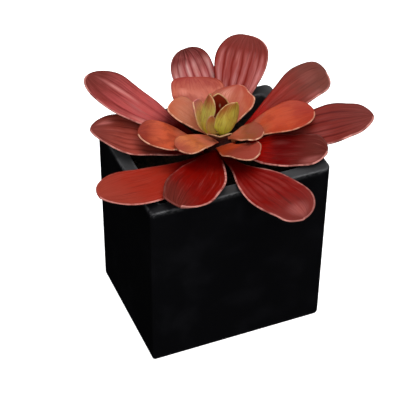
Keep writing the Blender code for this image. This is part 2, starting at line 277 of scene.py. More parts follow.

# Leaves: heading, reach, root height, rise, tip height, end rise, half width and three colours come first
# Most outer leaves' dark root colours are partly painted shade from the leaves above
OUTER_LEAVES = (
    outer_leaf(
        135, 120, -4, 13, 25, 20, 22.5, GARNET, ROSE, MAHOGANY, widest=0.72, roll=5, bend=-10.5, swell=1.9,
        bluntness=2.8, bloom=(0.82, 0.53, 0.51), ribs=4, rib_depth=0.7, rim=(0.0, 0.9), rim_width=1.4,
        patches=(
            Patch(-0.31, 0.76, 0.15, 0.23, 1.0), Patch(0.75, 0.4, 0.35, 0.2, 1.0),
            Patch(0.0, 0.55, 0.12, 0.2, 0.6),
        ),
        corners=(Corner(-1, 0.88, 0.15, 1.0), Corner(1, 0.6, 0.35, 1.2)),
    ),
    outer_leaf(
        157, 102, -8, 9, 11, 10, 24, WINE, TERRACOTTA, CLAY, widest=0.66, point=0.4, slant=-12, ribs=7,
        rib_depth=0.35, groove=0.45, rim=(0.0, 0.9),
        patches=(Patch(-0.64, 0.87, 0.16, 0.1, 0.9), Patch(-0.2, 0.8, 0.12, 0.15, 0.3)),
        corners=(Corner(1, 0.7, 0.3, 1.3),),
    ),
    outer_leaf(
        -151, 121, -5, 0, 12, 15, 21, WINE, RUST, TERRACOTTA, roll=-5, bend=-20, bluntness=3.2, slant=-5,
        rib_depth=0.2, groove=0.0, stripe=0.0, rim=(0.1, 0.9), rim_width=1.1, gleam=0.05,
    ),
    outer_leaf(
        -126, 89.5, -1, 8, 5, 0, 21.7, GARNET, CRIMSON, MAHOGANY, widest=0.66, bend=-9, swell=1.1,
        bluntness=4.5, slant=1, tip_start=0.88, tip_lean=-0.2, ribs=7, rib_depth=0.15, groove=0.1,
        stripe=0.0, rim=(0.12, 1.0), rim_width=1.3, gleam=0.05,
        corners=(Corner(1, 0.9, 0.2, 0.0, -2.2), Corner(-1, 0.95, 0.07, 1.5, 1.5)),
    ),
    outer_leaf(
        -86, 111.2, -5.5, 9, 1, -10, 23, WINE, CRIMSON, CLAY, bend=16, swell=2.4, bluntness=2.8, slant=12,
        tip_start=0.85, ribs=7, rib_depth=0.25, groove=0.25, rim=(1.0, 0.6), rim_width=1.0,
        patches=(Patch(0.15, 0.92, 0.7, 0.1, 0.5),),
        corners=(Corner(-1, 0.86, 0.16, -0.8), Corner(-1, 0.965, 0.07, 1.6, 2.0)),
    ),
    outer_leaf(
        -41, 86, -2, 5, 4.5, 3, 18, FLAME, WINE, MAHOGANY, widest=0.54, roll=10, bend=12, bluntness=3,
        slant=20, tip_start=0.74, rib_depth=0.3, groove=0.1, stripe=0.0, rim=(1.0, 0.1), rim_width=1.1,
        gleam=0.05,
        patches=(Patch(-0.7, 0.88, 0.45, 0.14, 0.45), Patch(0.5, 0.5, 0.2, 0.15, 0.2)),
        corners=(Corner(-1, 0.9, 0.16, 2.0, 2.6), Corner(1, 0.88, 0.12, 1.6)),
    ),
    outer_leaf(
        -13.5, 126, -8, 12, 12, 6, 19, WINE, RUSSET, CLAY, roll=15, swell=1.9, bluntness=2.3, point=0.4,
        slant=8, rib_depth=0.5, groove=0.65, rim=(1.0, 0.0), rim_width=1.4,
        patches=(Patch(-0.3, 0.55, 0.3, 0.25, 0.2),),
        corners=(Corner(1, 0.93, 0.11, 2.2), Corner(-1, 0.92, 0.12, 1.6)),
    ),
    outer_leaf(
        19.2, 120.3, -7, 20, 11.5, 3, 17.7, FLAME, BRICK, UMBER, widest=0.77, roll=8, swell=2.8,
        bluntness=5.5, slant=18, tip_start=0.7, rib_depth=0.4, groove=0.15, stripe=0.1, rim=(0.9, 0.0),
        rim_width=1.2,
        patches=(Patch(-0.75, 0.8, 0.25, 0.12, 0.4), Patch(0.3, 0.85, 0.5, 0.1, 0.2)),
        corners=(Corner(-1, 0.78, 0.16, -1.0), Corner(1, 0.8, 0.2, 1.4), Corner(1, 0.9, 0.16, 0.0, 1.8)),
    ),
    outer_leaf(
        53, 118.5, -4, 22, 23.5, 8, 22, WINE, BRICK, CLAY, widest=0.72, bend=4, swell=1.5, bluntness=2.8,
        slant=8, bloom=(0.76, 0.48, 0.47), ribs=6, rib_depth=0.3, groove=0.35, stripe=0.9,
        stripe_span=(0.3, 0.86), rim=(0.6, 0.0),
        patches=(Patch(-0.75, 0.5, 0.4, 0.3, 0.7), Patch(0.1, 0.45, 0.15, 0.25, 0.5)),
        corners=(Corner(-1, 0.55, 0.25, -1.5),),
    ),
    outer_leaf(
        81.5, 116.5, -8, 22, 11, 5, 18.5, WINE, ROSE, COCOA, widest=0.72, swell=0.8, bluntness=2.8,
        slant=-18, bloom=(0.8, 0.6, 0.58), ribs=6, rib_depth=0.6, groove=0.6, stripe=1.0,
        stripe_span=(0.3, 0.9), rim=(0.0, 0.2),
        patches=(Patch(0.75, 0.64, 0.5, 0.25, 0.6),),
    ),
)
MIDDLE_LEAVES = (
    middle_leaf(
        89.5, 56.5, 2.5, 20, 26, 26, 22, PEACH, PEACH, SCARLET, roll=-2, root_share=0.18, swell=1,
        bluntness=5.5, slant=14, tip_start=0.86, tip_lean=0.06, rim=(0.0, 0.0),
        patches=(Patch(0.56, 0.76, 0.3, 0.09, 0.8), Patch(0.0, 0.72, 0.35, 0.13, 0.3)),
    ),
    middle_leaf(
        127.5, 44.5, 5, 34, 22.5, 8, 12, SAND, SAND, CORAL, roll=-6, bluntness=4, rim=(0.0, 1.0),
    ),
    middle_leaf(
        169, 64, -0.5, 18, 14.5, 5, 18, APRICOT, TANGERINE, RUSSET, bend=-4.5, root_share=0.26, swell=2,
        slant=-8, rim=(0.0, 0.9),
        corners=(Corner(1, 0.55, 0.4, 2.0),),
    ),
    middle_leaf(
        -161, 41.5, 7, 23, 14, 1, 12, APRICOT, AMBER, TERRACOTTA, root_share=0.5, bluntness=4,
        rim=(0.0, 1.0),
        corners=(Corner(1, 0.35, 0.3, 1.0),),
    ),
    middle_leaf(
        -83, 40, 3, 8, 12, 3, 15.7, PERSIMMON, TERRACOTTA, TERRACOTTA, cup=8, bend=14, root_share=0.45,
        bluntness=5, rim=(0.9, 0.6),
        corners=(Corner(1, 0.92, 0.2, -1.5, -1.0),),
    ),
    middle_leaf(
        -22, 35.5, 5.5, 16, 11, 2, 11.3, CORAL, COPPER, TERRACOTTA, rim=(1.0, 0.0),
    ),
    middle_leaf(
        -7, 79.5, 0, 22, 15.5, 3, 16.8, COPPER, PERSIMMON, RUST, roll=3, swell=1.9, bluntness=3, slant=6,
        rim=(0.6, 0.0),
    ),
    middle_leaf(
        47, 48, 3.5, 44, 24, 16, 17, CORAL, CORAL, VERMILION, roll=6, point=0.5, slant=-15,
        bloom=(0.88, 0.58, 0.5), fold=1.3, rim=(0.9, 0.0),
        patches=(Patch(0.45, 0.75, 0.45, 0.3, 0.7), Patch(-0.3, 0.8, 0.2, 0.25, 0.2)),
        corners=(Corner(-1, 0.88, 0.14, -2.2, -1.0),),
    ),
)
HEART_LEAVES = (
    heart_leaf(
        171, 8, 10, 25, 49.5, 112, 10.9, LIME, LEMON, RASPBERRY, widest=0.68, cup=68, root_share=0.2,
        swell=2.6, tip_start=0.8, streak=0.6, mottle=0.35, rim=(0.3, 0.9),
        corners=(Corner(1, 0.82, 0.2, 0.9), Corner(-1, 0.82, 0.2, 0.9)),
    ),
    heart_leaf(
        145, 21, 7.5, 40, 37, 80, 11.5, BUTTER, BUTTER, ORCHID, cup=35, root_share=0.18, bluntness=3,
        rim=(0.0, 0.9),
    ),
    heart_leaf(
        73, 11.5, 8, 20, 40.5, 105, 11.2, OXBLOOD, OXBLOOD, VERMILION, widest=0.55, cup=50, root_share=0.2,
        bloom=(0.98, 0.86, 0.8), back=(0.84, 0.76, 0.27), back_strength=0.9, rim=(0.9, 0.9), gleam=0.12,
        patches=(Patch(-0.2, 0.66, 0.11, 0.08, 1.0),),
    ),
    heart_leaf(
        -70, 11, 11.6, 31, 42.8, 100, 15, LIME, CITRON, SCARLET, widest=0.5, cup=60, bend=7,
        root_share=0.18, bloom=(0.95, 0.93, 0.7), tip_start=0.92, tip_lean=-0.25, streak=0.55, mottle=0.15,
        rim=(0.8, 0.1),
        patches=(Patch(0.3, 0.3, 0.1, 0.05, 0.9), Patch(0.2, 0.42, 0.06, 0.06, 0.6)),
    ),
    heart_leaf(
        -140, 13.7, 12.5, 20, 36.5, 95, 3.8, HONEY, HONEY, AMBER, widest=0.62, cup=40, roll=50,
        root_share=0.32, rim=(0.9, 0.9),
        corners=(Corner(1, 0.7, 0.3, 1.2),),
    ),
    # The sixth heart leaf's dark underside colour is painted shade
    heart_leaf(
        -110, 12.1, 9.7, 18, 15.8, 62, 10.5, HONEY, OCHRE, SALMON, widest=0.6, cup=40, root_share=0.25,
        back=(0.22, 0.13, 0.08), back_strength=1.0, rim=(1.0, 1.0),
        corners=(Corner(1, 0.94, 0.16, 2.6), Corner(-1, 0.94, 0.16, 2.6)),
    ),
)


# Settings that a user would change

def length(name, description, default, smallest, largest):
    """A length setting, with its default and its limits in millimetres."""
    return FloatProperty(
        name=name, description=description, default=default * MM, min=smallest * MM, max=largest * MM,
        subtype="DISTANCE", unit="LENGTH",
    )


def tint(name, description, default, subtype="COLOR"):
    """A colour setting."""
    return FloatVectorProperty(
        name=name, description=description, default=default, min=0.0, max=1.0, subtype=subtype,
    )


class PlanterSettings(bpy.types.PropertyGroup):
    """Sizes and colour of the planter."""

    edge_radius: length("Edge Radius", "Rounding of the rim's and the foot's edges", 1.2, 0.2, 3.0)
    corner_radius: length("Corner Radius", "Rounding of the upright corners", 6.0, 2.0, 20.0)
    front_left_radius: length("Front Left Radius", "Rounding of the front left corner", 2.5, 2.0, 20.0)
    colour: tint("Colour", "Colour of the planter's surface", (0.0070, 0.0070, 0.0084))


class SoilSettings(bpy.types.PropertyGroup):
    """Relief, crumbs and colour of the soil."""

    relief: length("Relief", "Height of the soil's unevenness", 0.9, 0.0, 3.0)
    crumb_size: length("Crumb Size", "Mean radius of a crumb", 1.3, 0.3, 4.0)
    crumb_count: IntProperty(name="Crumbs", description="Number of crumbs", default=900, min=1, max=3000)
    colour: tint("Colour", "Colour of the soil", (0.012, 0.008, 0.006))


class StemSettings(bpy.types.PropertyGroup):
    """Relief and colour of the stem."""

    scar_depth: length("Scar Depth", "Depth of the scars that old leaves left", 0.35, 0.0, 1.0)
    colour: tint("Colour", "Colour of the stem's bark", (0.016, 0.003, 0.002))


class LeafSettings(bpy.types.PropertyGroup):
    """Rim colours of the three whorls, and how far a leaf runs into the stem."""

    root_sink: length("Root Sink", "How far a leaf's root runs into the stem", 1.3, 0.0, 3.0)
    outer_rim: tint("Outer Rim", "Colour of the outer leaves' rims", (0.86, 0.58, 0.54), "COLOR_GAMMA")
    middle_rim: tint("Middle Rim", "Colour of the middle leaves' rims", (0.92, 0.70, 0.58), "COLOR_GAMMA")
    heart_rim: tint("Heart Rim", "Colour of the heart leaves' rims", (0.90, 0.76, 0.55), "COLOR_GAMMA")


class StageSettings(bpy.types.PropertyGroup):
    """Camera and floor."""

    azimuth: FloatProperty(name="Azimuth", description="Turn of the camera in degrees", default=-22.953)
    elevation: FloatProperty(name="Elevation", description="Height of the camera in degrees", default=40.465)
    roll: FloatProperty(name="Roll", description="Roll of the camera in degrees", default=0.68)
    distance: length("Distance", "Distance from the camera to its target", 1416.1, 100.0, 5000.0)
    focal_length: FloatProperty(name="Focal Length", description="Lens in millimetres", default=151.875)
    floor_colour: tint("Floor", "Colour of the floor", (0.9, 0.9, 0.9))


# Shader building

BLACK = (0.0, 0.0, 0.0, 1.0)
SHADOW_TINT = (0.36, 0.16, 0.18, 1.0)
WARM_TINT = (1.0, 0.72, 0.62, 1.0)
SOIL_SPECK = (0.16, 0.12, 0.08, 1.0)
SOCKET_KINDS = {1: "NodeSocketFloat", 3: "NodeSocketVector", 4: "NodeSocketColor"}
SKIN_COLOURS = ("root_colour", "flesh_colour", "tip_colour", "bloom", "back", "rim_colour")
SKIN_NUMBERS = (
    "back_strength", "tip_start", "tip_lean", "ribs", "groove", "stripe", "stripe_from", "stripe_to",
    "streak", "mottle", "rim_right", "rim_left", "rim_width",
)
BLADE_PLACES = ("across", "along", "margin", "rim", "under")
PATCH_NUMBERS = ("middle_across", "middle_along", "half_width", "half_length", "strength")
LEAF_ROUGHNESS = 0.32
ROOT_END = 0.5
TIP_STRENGTH = 0.85


class Value:
    """A number, colour or vector that varies over a surface, so that shader nodes read as arithmetic."""

    def __init__(self, socket):
        self.socket = socket
        self.tree = socket.id_data

    def __add__(self, other):
        return calc(self.tree, "ADD", self, other)

    def __sub__(self, other):
        return calc(self.tree, "SUBTRACT", self, other)

    def __rsub__(self, other):
        return calc(self.tree, "SUBTRACT", other, self)

    def __mul__(self, other):
        return calc(self.tree, "MULTIPLY", self, other)

    def __truediv__(self, other):
        return calc(self.tree, "DIVIDE", self, other)

    def __rtruediv__(self, other):
        return calc(self.tree, "DIVIDE", other, self)

    def __pow__(self, other):
        return calc(self.tree, "POWER", self, other)

    def at_least(self, other):
        """The greater of the two."""
        return calc(self.tree, "MAXIMUM", self, other)

    def ramp(self, low, high, to_low=0.0, to_high=1.0):
        """Its smooth step from low to high, mapped onto to_low to to_high."""
        inputs = {0: self, 1: low, 2: high, 3: to_low, 4: to_high}
        made = add_node(self.tree, "ShaderNodeMapRange", inputs, interpolation_type="SMOOTHSTEP", clamp=True)
        return Value(made.outputs[0])

    def mix(self, first, second):
        """The colour that it carries from the first to the second."""
        return blend(self.tree, "MIX", self, first, second)

    def tinted(self, tint):
        """This colour times a tint."""
        return blend(self.tree, "MULTIPLY", 1.0, self, tint)


def plug(socket, value):
    """Feeds a socket with a Value, or sets it to a constant."""
    if isinstance(value, Value):
        value.tree.links.new(value.socket, socket)
    else:
        socket.default_value = value


def add_node(tree, kind, inputs=(), **settings):
    """Adds a node, sets its settings, and feeds its inputs by name or number."""
    made = tree.nodes.new(kind)
    for name, value in settings.items():
        setattr(made, name, value)
    for key, value in dict(inputs).items():
        plug(made.inputs[key], value)
    return made


def calc(tree, operation, first, second=0.0):
    """A Math node's value."""
    return Value(add_node(tree, "ShaderNodeMath", {0: first, 1: second}, operation=operation).outputs[0])


def blend(tree, blend_type, factor, first, second):
    """A Mix node's colour."""
    settings = {"data_type": "RGBA", "blend_type": blend_type, "clamp_factor": True}
    return Value(add_node(tree, "ShaderNodeMix", {0: factor, 6: first, 7: second}, **settings).outputs[2])


def noise(place, scale, detail=2.0, roughness=0.5, distortion=0.0):
    """A noise between 0 and 1 at a place."""
    inputs = {
        "Vector": place, "Scale": scale, "Detail": detail, "Roughness": roughness, "Distortion": distortion,
    }
    return Value(add_node(place.tree, "ShaderNodeTexNoise", inputs).outputs[0])


def vector_of(x, y, z=0.0):
    """A vector from three values."""
    return Value(add_node(x.tree, "ShaderNodeCombineXYZ", {0: x, 1: y, 2: z}).outputs[0])


def object_place(tree):
    """The place on the surface, in metres."""
    return Value(add_node(tree, "ShaderNodeTexCoord").outputs["Object"])


def attribute(tree, name):
    """The value of a float attribute of the mesh."""
    return Value(add_node(tree, "ShaderNodeAttribute", attribute_name=name).outputs["Fac"])


def label(name):
    """A field's name as a socket's label."""
    return name.replace("_", " ").title()


def new_group(name, inputs, outputs):
    """An empty shader node group; each socket's default says by its count of numbers what kind it is."""
    tree = bpy.data.node_groups.new(name, "ShaderNodeTree")
    for in_out, sockets in (("INPUT", inputs), ("OUTPUT", outputs)):
        for title, default in sockets.items():
            kind = SOCKET_KINDS[np.size(default)]
            tree.interface.new_socket(title, in_out=in_out, socket_type=kind).default_value = default
    sockets = tree.nodes.new("NodeGroupInput").outputs
    return {title: Value(sockets[title]) for title in inputs}, tree.nodes.new("NodeGroupOutput").inputs


def use_group(tree, name, build, inputs):
    """A node of the group of that name, which is built the first time that it is wanted."""
    if name not in bpy.data.node_groups:
        build(name)
    made = add_node(tree, "ShaderNodeGroup", inputs, node_tree=bpy.data.node_groups[name])
    return {socket.name: Value(socket) for socket in made.outputs}


def build_fine_grain(name):
    """Grain at two sizes: a fine pitting and a broad unevenness."""
    inputs = {"Place": (0.0, 0.0, 0.0), "Grain Size": 0.001, "Blotch Size": 0.02}
    given, out = new_group(name, inputs, {"Grain": 0.0, "Blotch": 0.0})
    plug(out["Grain"], noise(given["Place"], 1.0 / given["Grain Size"], 3.0, 0.6))
    plug(out["Blotch"], noise(given["Place"], 1.0 / given["Blotch Size"], 3.0, 0.55, 0.4))


def fine_grain(tree, grain_size, blotch_size):
    """The fine grain at the surface's place: its pitting and its unevenness."""
    inputs = {"Place": object_place(tree), "Grain Size": grain_size, "Blotch Size": blotch_size}
    made = use_group(tree, "fine_grain", build_fine_grain, inputs)
    return made["Grain"], made["Blotch"]


def build_leaf_skin(name):
    """The colour, roughness and relief of a leaf's skin from its place across and along the blade.

    The colour runs from the root's to the flesh's to the tip's, with ragged borders and mottling; a darker
    root is partly painted shade. Pale uneven stripes of painted highlight lie on the crests of the ribs and
    dark lines of painted shade in the grooves between them. Fibres and hairs run lengthwise, patches have a
    painted sheen, blotches vary the tone, and a pale broken rim of uneven width runs along the edge, partly
    its own colour and partly a painted highlight on the side that faces the light.
    """
    inputs = {label(key): 0.0 for key in (*BLADE_PLACES, *SKIN_NUMBERS, "sheen", "seed")}
    inputs |= {label(key): BLACK for key in SKIN_COLOURS}
    given, out = new_group(name, inputs, {"Colour": BLACK, "Roughness": 0.5, "Height": 0.0})
    across, along, bloom, streak = (given[key] for key in ("Across", "Along", "Bloom", "Streak"))

    def pattern(x, y, scale, *settings):
        """A noise over the blade, another one on each leaf."""
        return noise(vector_of(x, y, given["Seed"]), scale, *settings)

    grain, blotch = fine_grain(across.tree, 0.0008, 0.014)
    wander = pattern(across * 1.5, along * 2.0, 2.0)
    lane = across + wander * 0.2 - 0.1
    fibre = pattern(lane * 11.0, along * 1.5, 1.6, 3.0, 0.6)
    hair = pattern(lane * 44.0, along * 3.0, 1.3, 2.0, 0.6)

    # Root, flesh and tip; a darker root colour is partly painted shade, where the leaves above shade the root
    ragged = along + fibre * 0.3 + blotch * 0.24 - 0.27
    rooted = (ragged - ROOT_END).ramp(-0.3, 0.0, 1.0, 0.0)
    beyond = ragged + across * given["Tip Lean"] - given["Tip Start"]
    mottled = pattern(across * 1.6, along * 4.0, 1.3, 3.0, 0.6, 0.5).ramp(0.46, 0.62)
    tone = (mottled * given["Mottle"]).mix(given["Flesh Colour"], given["Tip Colour"])
    tone = rooted.mix(tone, given["Root Colour"])
    tone = (beyond.ramp(-0.2, 0.2) * TIP_STRENGTH).mix(tone, given["Tip Colour"])

    # Painted highlights: pale stripes on the ribs' crests, and the patches' painted sheen
    turns = (across + wander * 0.16 - 0.08) * given["Ribs"] + given["Ribs"] - 1.0
    crest = calc(turns.tree, "COSINE", turns * np.pi) * 0.5 + 0.5
    crest_highlight = crest**0.75 * (along - given["Stripe From"]).ramp(0.0, 0.15)
    crest_highlight = crest_highlight * (given["Stripe To"] - along).ramp(0.0, 0.12) * fibre.ramp(0.32, 0.6, 0.5, 1.0)
    crest_highlight = crest_highlight * pattern(lane * 3.4, along * 1.6, 1.0).ramp(0.38, 0.6, 0.2, 1.0)
    tone = (crest_highlight * given["Stripe"]).mix(tone, bloom)
    streaky_sheen = given["Sheen"] * fibre.ramp(0.36, 0.6, 0.25, 1.0)
    tone = streaky_sheen.mix(tone, bloom)

    # Painted shade in the grooves between the ribs, dark fibres and hairs, pale fibres, and warmer blotches
    dark = tone.tinted(SHADOW_TINT)
    groove_shade = (1.0 - crest) ** 8.0 * given["Groove"] * along.ramp(0.1, 0.35)
    tone = (groove_shade * along.ramp(0.75, 0.97, 1.0, 0.0)).mix(tone, dark)
    tone = (fibre.ramp(0.50, 0.72) * streak).mix(tone, dark)
    tone = (hair.ramp(0.45, 0.75) * streak * 0.2).mix(tone, dark)
    tone = (fibre.ramp(0.3, 0.45, 0.25, 0.0) * streak * (1.0 - rooted)).mix(tone, bloom)
    tone = blotch.ramp(0.35, 0.7, 0.0, 0.5).mix(tone, tone.tinted(WARM_TINT))

    # Underside, and the rim: a pale colour of its own, painted stronger as a highlight on the side that faces
    # the light
    backed = fibre.ramp(0.4, 0.7, 0.0, 0.4).mix(given["Back"], dark)
    tone = (given["Under"] * given["Back Strength"]).mix(tone, backed)
    width = given["Rim Width"] * (pattern(along * 16.0, across, 1.0) * 1.3 + 0.35)
    rimmed = (given["Margin"] / width).ramp(0.3, 1.0, 1.0, 0.0).at_least(given["Rim"])
    leftward = across.ramp(-0.25, 0.25)
    side = leftward * given["Rim Left"] + (1.0 - leftward) * given["Rim Right"]
    broken = pattern(along * 9.0, leftward, 1.0, 3.0, 0.65).ramp(0.38, 0.60, 0.2, 1.0)
    tone = (rimmed * side * broken * along.ramp(0.1, 0.4)).mix(tone, given["Rim Colour"])
    plug(out["Colour"], tone)

    rough = hair * 0.10 + (blotch - 0.5) * 0.16 - streaky_sheen * 0.1 + given["Under"] * 0.12
    plug(out["Roughness"], rough + LEAF_ROUGHNESS)
    plug(out["Height"], hair * 0.5 + fibre * 0.6 + grain * 0.35)


def build_sheen_patch(name):
    """How much an oval patch shows: 1 at its middle, falling off smoothly to 0 at its border."""
    inputs = {label(key): 0.5 for key in ("across", "along", *PATCH_NUMBERS)}
    given, out = new_group(name, inputs, {"Mask": 0.0})
    aside = (given["Across"] - given["Middle Across"]) / given["Half Width"]
    apart = (given["Along"] - given["Middle Along"]) / given["Half Length"]
    measure = add_node(aside.tree, "ShaderNodeVectorMath", {0: vector_of(aside, apart)}, operation="LENGTH")
    plug(out["Mask"], Value(measure.outputs["Value"]).ramp(0.15, 1.0, 1.0, 0.0) * given["Strength"])


def new_material(name):
    """A material with only a Principled shader and its output."""
    made = bpy.data.materials.new(name)
    made.use_nodes = True
    return made, made.node_tree, made.node_tree.nodes["Principled BSDF"]


def finish(shader, tone, roughness, gleam, height, strength, depth):
    """Feeds a shader its colour, roughness and gleam, and a bump from a height with a depth in metres."""
    inputs = {"Strength": strength, "Distance": depth, "Height": height}
    bump = add_node(height.tree, "ShaderNodeBump", inputs)
    plug(shader.inputs["Base Color"], tone)
    plug(shader.inputs["Roughness"], roughness)
    plug(shader.inputs["Specular IOR Level"], gleam)
    plug(shader.inputs["Normal"], Value(bump.outputs["Normal"]))


def linear(display):
    """A display colour as the linear colour that shaders work in, with full alpha."""
    value = np.array(display)
    made = np.where(value <= 0.04045, value / 12.92, ((value + 0.055) / 1.055) ** 2.4)
    return (*made.tolist(), 1.0)


def leaf_material(name, leaf, rim_colour, seed):
    """A waxy leaf's finish with its own skin."""
    material, tree, shader = new_material(name + "_skin")
    places = {label(key): attribute(tree, key) for key in BLADE_PLACES}
    sheen = 0.0
    for patch in leaf.patches:
        inputs = {"Across": places["Across"], "Along": places["Along"]}
        inputs |= dict(zip(map(label, PATCH_NUMBERS), patch))
        sheen = use_group(tree, "sheen_patch", build_sheen_patch, inputs)["Mask"].at_least(sheen)
    fields = leaf._asdict() | {"rim_colour": rim_colour}
    fields |= dict(zip(("stripe_from", "stripe_to", "rim_right", "rim_left"), leaf.stripe_span + leaf.rim))
    inputs = places | {"Sheen": sheen, "Seed": float(seed)}
    inputs |= {label(key): linear(fields[key]) for key in SKIN_COLOURS}
    inputs |= {label(key): float(fields[key]) for key in SKIN_NUMBERS}
    made = use_group(tree, "leaf_skin", build_leaf_skin, inputs)
    finish(shader, made["Colour"], made["Roughness"], leaf.gleam, made["Height"], 0.35, 0.4 * MM)
    return material


def planter_material(base):
    """Matte black with fine pitting and faint scuffs, a painted sheen on the rim, and worn edges that are
    partly a painted highlight.
    """
    material, tree, shader = new_material("planter_black")
    grain, blotch = fine_grain(tree, 0.0009, 0.03)
    scuff = noise(object_place(tree), 160.0, 4.0, 0.7, 1.2)
    paler = [3.2 * part for part in base]
    tone = blotch.ramp(0.45, 0.75, 0.0, 0.35).mix((*base, 1.0), (*paler, 1.0))
    # Painted sheen, standing in for reflected light, on the rim and the inner wall
    tone = (attribute(tree, "painted_sheen") * blotch.ramp(0.3, 0.7, 0.5, 1.0)).mix(tone, PAINTED_SHEEN_GREY)
    # Paler edges where scuffed: partly wear and partly a painted highlight along the rounded edges
    tone = (attribute(tree, "edge") * scuff.ramp(0.35, 0.6) * 0.8).mix(tone, WORN_AND_HIGHLIT_EDGE)
    rough = blotch * 0.18 + scuff.ramp(0.5, 0.75) * 0.12 + 0.30
    finish(shader, tone, rough, 0.4, grain, 0.25, 0.2 * MM)
    return material


def soil_material(base):
    """Dark crumbly soil, with lighter fibres and specks."""
    material, tree, shader = new_material("soil_dark")
    lumps = noise(object_place(tree), 260.0, 4.0, 0.65)
    specks = noise(object_place(tree), 900.0, 2.0, 0.5)
    brown = (base[0] * 3.0, base[1] * 2.6, base[2] * 2.0, 1.0)
    tone = lumps.ramp(0.4, 0.7).mix((*base, 1.0), brown)
    tone = specks.ramp(0.68, 0.78, 0.0, 0.5).mix(tone, SOIL_SPECK)
    finish(shader, tone, specks.ramp(0.3, 0.7, 0.8, 1.0), 0.2, specks * 0.4 + lumps, 0.8, 1.0 * MM)
    return material


def stem_material(base):
    """Dull brown bark with paler leaf scars and upright cracks."""
    material, tree, shader = new_material("stem_bark")
    place = object_place(tree)
    stretched = add_node(tree, "ShaderNodeMapping", {"Vector": place, "Scale": (1.0, 1.0, 0.25)}).outputs[0]
    cracks = noise(Value(stretched), 420.0, 4.0, 0.65, 0.6)
    pale = (base[0] * 3.4, base[1] * 3.6, base[2] * 3.4, 1.0)
    tone = noise(place, 120.0, 3.0).ramp(0.4, 0.7, 0.0, 0.7).mix((*base, 1.0), pale)
    tone = cracks.ramp(0.55, 0.7).mix(tone, (*base, 1.0))
    finish(shader, tone, cracks.ramp(0.3, 0.7, 0.65, 0.95), 0.5, cracks, 0.7, 0.6 * MM)
    return material


# Mesh building

def grid_quads(rows, columns, start=0, wrap=False):
    """Faces between neighbouring points of a grid whose points are numbered row by row from start.

    Face (r, c) joins points (r, c), (r, c + 1), (r + 1, c + 1) and (r + 1, c); wrap closes each row.
    """
    here = np.arange(rows - 1)[:, None] * columns
    column = np.arange(columns if wrap else columns - 1)[None, :]
    after = (column + 1) % columns
    above = here + columns
    quads = np.stack([here + column, here + after, above + after, above + column], axis=-1)
    return quads.reshape(-1, 4) + start


def fan(loop, centre):
    """Triangles from each step of a loop of point numbers to its centre."""
    return np.stack([loop, np.roll(loop, -1), np.full_like(loop, centre)], axis=-1)


def closed_stack(rings):
    """Points and faces of a skin over a stack of rings, an array of rings by points by xyz.

    The rings run anticlockwise and upwards on the outside. A fan closes each end.
    """
    rows, count = rings.shape[:2]
    centres = [rings[0].mean(axis=0)[None], rings[-1].mean(axis=0)[None]]
    points = np.concatenate([rings.reshape(-1, 3), *centres])
    loop = np.arange(count)
    last = (rows - 1) * count
    bottom = fan(loop, rows * count)[:, ::-1]
    return points, [grid_quads(rows, count, wrap=True), bottom, fan(loop + last, rows * count + 1)]


def make_piece(name, material, points, faces, attributes=None, node=None):
    """A smooth-shaded piece that rides on the body, from points in metres and arrays of faces."""
    data = bpy.data.meshes.new(name)
    corners = np.concatenate([part.reshape(-1) for part in faces]).astype(np.int32)
    sizes = np.concatenate([np.full(len(part), part.shape[1]) for part in faces]).astype(np.int32)
    data.vertices.add(len(points))
    data.vertices.foreach_set("co", np.ascontiguousarray(points, dtype=np.float32).reshape(-1))
    data.loops.add(len(corners))
    data.loops.foreach_set("vertex_index", corners)
    data.polygons.add(len(sizes))
    data.polygons.foreach_set("loop_start", (np.cumsum(sizes) - sizes).astype(np.int32))
    data.update(calc_edges=True)
    for title, values in (attributes or {}).items():
        layer = data.attributes.new(title, "FLOAT", "POINT")
        layer.data.foreach_set("value", np.ascontiguousarray(values, dtype=np.float32))
    if data.validate(verbose=False):
        raise RuntimeError(f"the mesh of {name} was not valid")
    data.shade_smooth()
    data.materials.append(material)
    made = bpy.data.objects.new(name, data)
    bpy.context.scene.collection.objects.link(made)
    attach(made, "root")
    if node:
        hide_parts(node)


# Leaves

def stem_radius(over_rim):
    """The stem's radius at a height over the rim, both in millimetres."""
    heights, radii = zip(*STEM_PROFILE)
    return np.interp(over_rim, heights, radii)


def root_distance(leaf):
    """Level distance from the stem's axis to the middle of the leaf's root, as the frame's leaf has it."""
    half = leaf.kind.root_thickness / 2
    in_by = half * np.sin(np.radians(leaf.rise))
    up_by = half * np.cos(np.radians(leaf.rise))
    return SEAT_GAP + max(stem_radius(leaf.root + up_by) + in_by, stem_radius(leaf.root - up_by) - in_by)


def outline(leaf, share):
    """Half width along the leaf.

    It swells from the narrow root as a sine raised to swell, and past the widest place it closes as a
    rounded superellipse mixed with a pointed power curve.
    """
    inner = np.clip(share / leaf.widest, 0.0, 1.0)
    outer = np.clip((share - leaf.widest) / (1.0 - leaf.widest), 0.0, 1.0)
    swelling = leaf.root_share + (1.0 - leaf.root_share) * np.sin(np.pi / 2 * inner) ** leaf.swell
    rounded = np.sqrt(1.0 - outer**leaf.bluntness)
    pointed = 1.0 - outer**TIP_POINT_POWER
    closing = (1.0 - leaf.point) * rounded + leaf.point * pointed
    return leaf.half_width * np.where(share < leaf.widest, swelling, closing)


def row_shares(leaf, root_sink):
    """Shares of the length at each row: even up to the widest place, then closer together to the tip.

    The first lies below 0 by the root sink, inside the stem.
    """
    inner_rows = round(leaf.kind.rows * leaf.widest * INNER_ROW_SHARE)
    inner = np.linspace(0.0, leaf.widest, inner_rows + 1)
    turn = np.linspace(0.0, np.pi / 2, leaf.kind.rows - inner_rows + 1)[1:]
    sunk = -root_sink / np.hypot(leaf.reach - root_distance(leaf), leaf.tip - leaf.root)
    return np.concatenate([[sunk], inner, leaf.widest + (1.0 - leaf.widest) * np.sin(turn)])


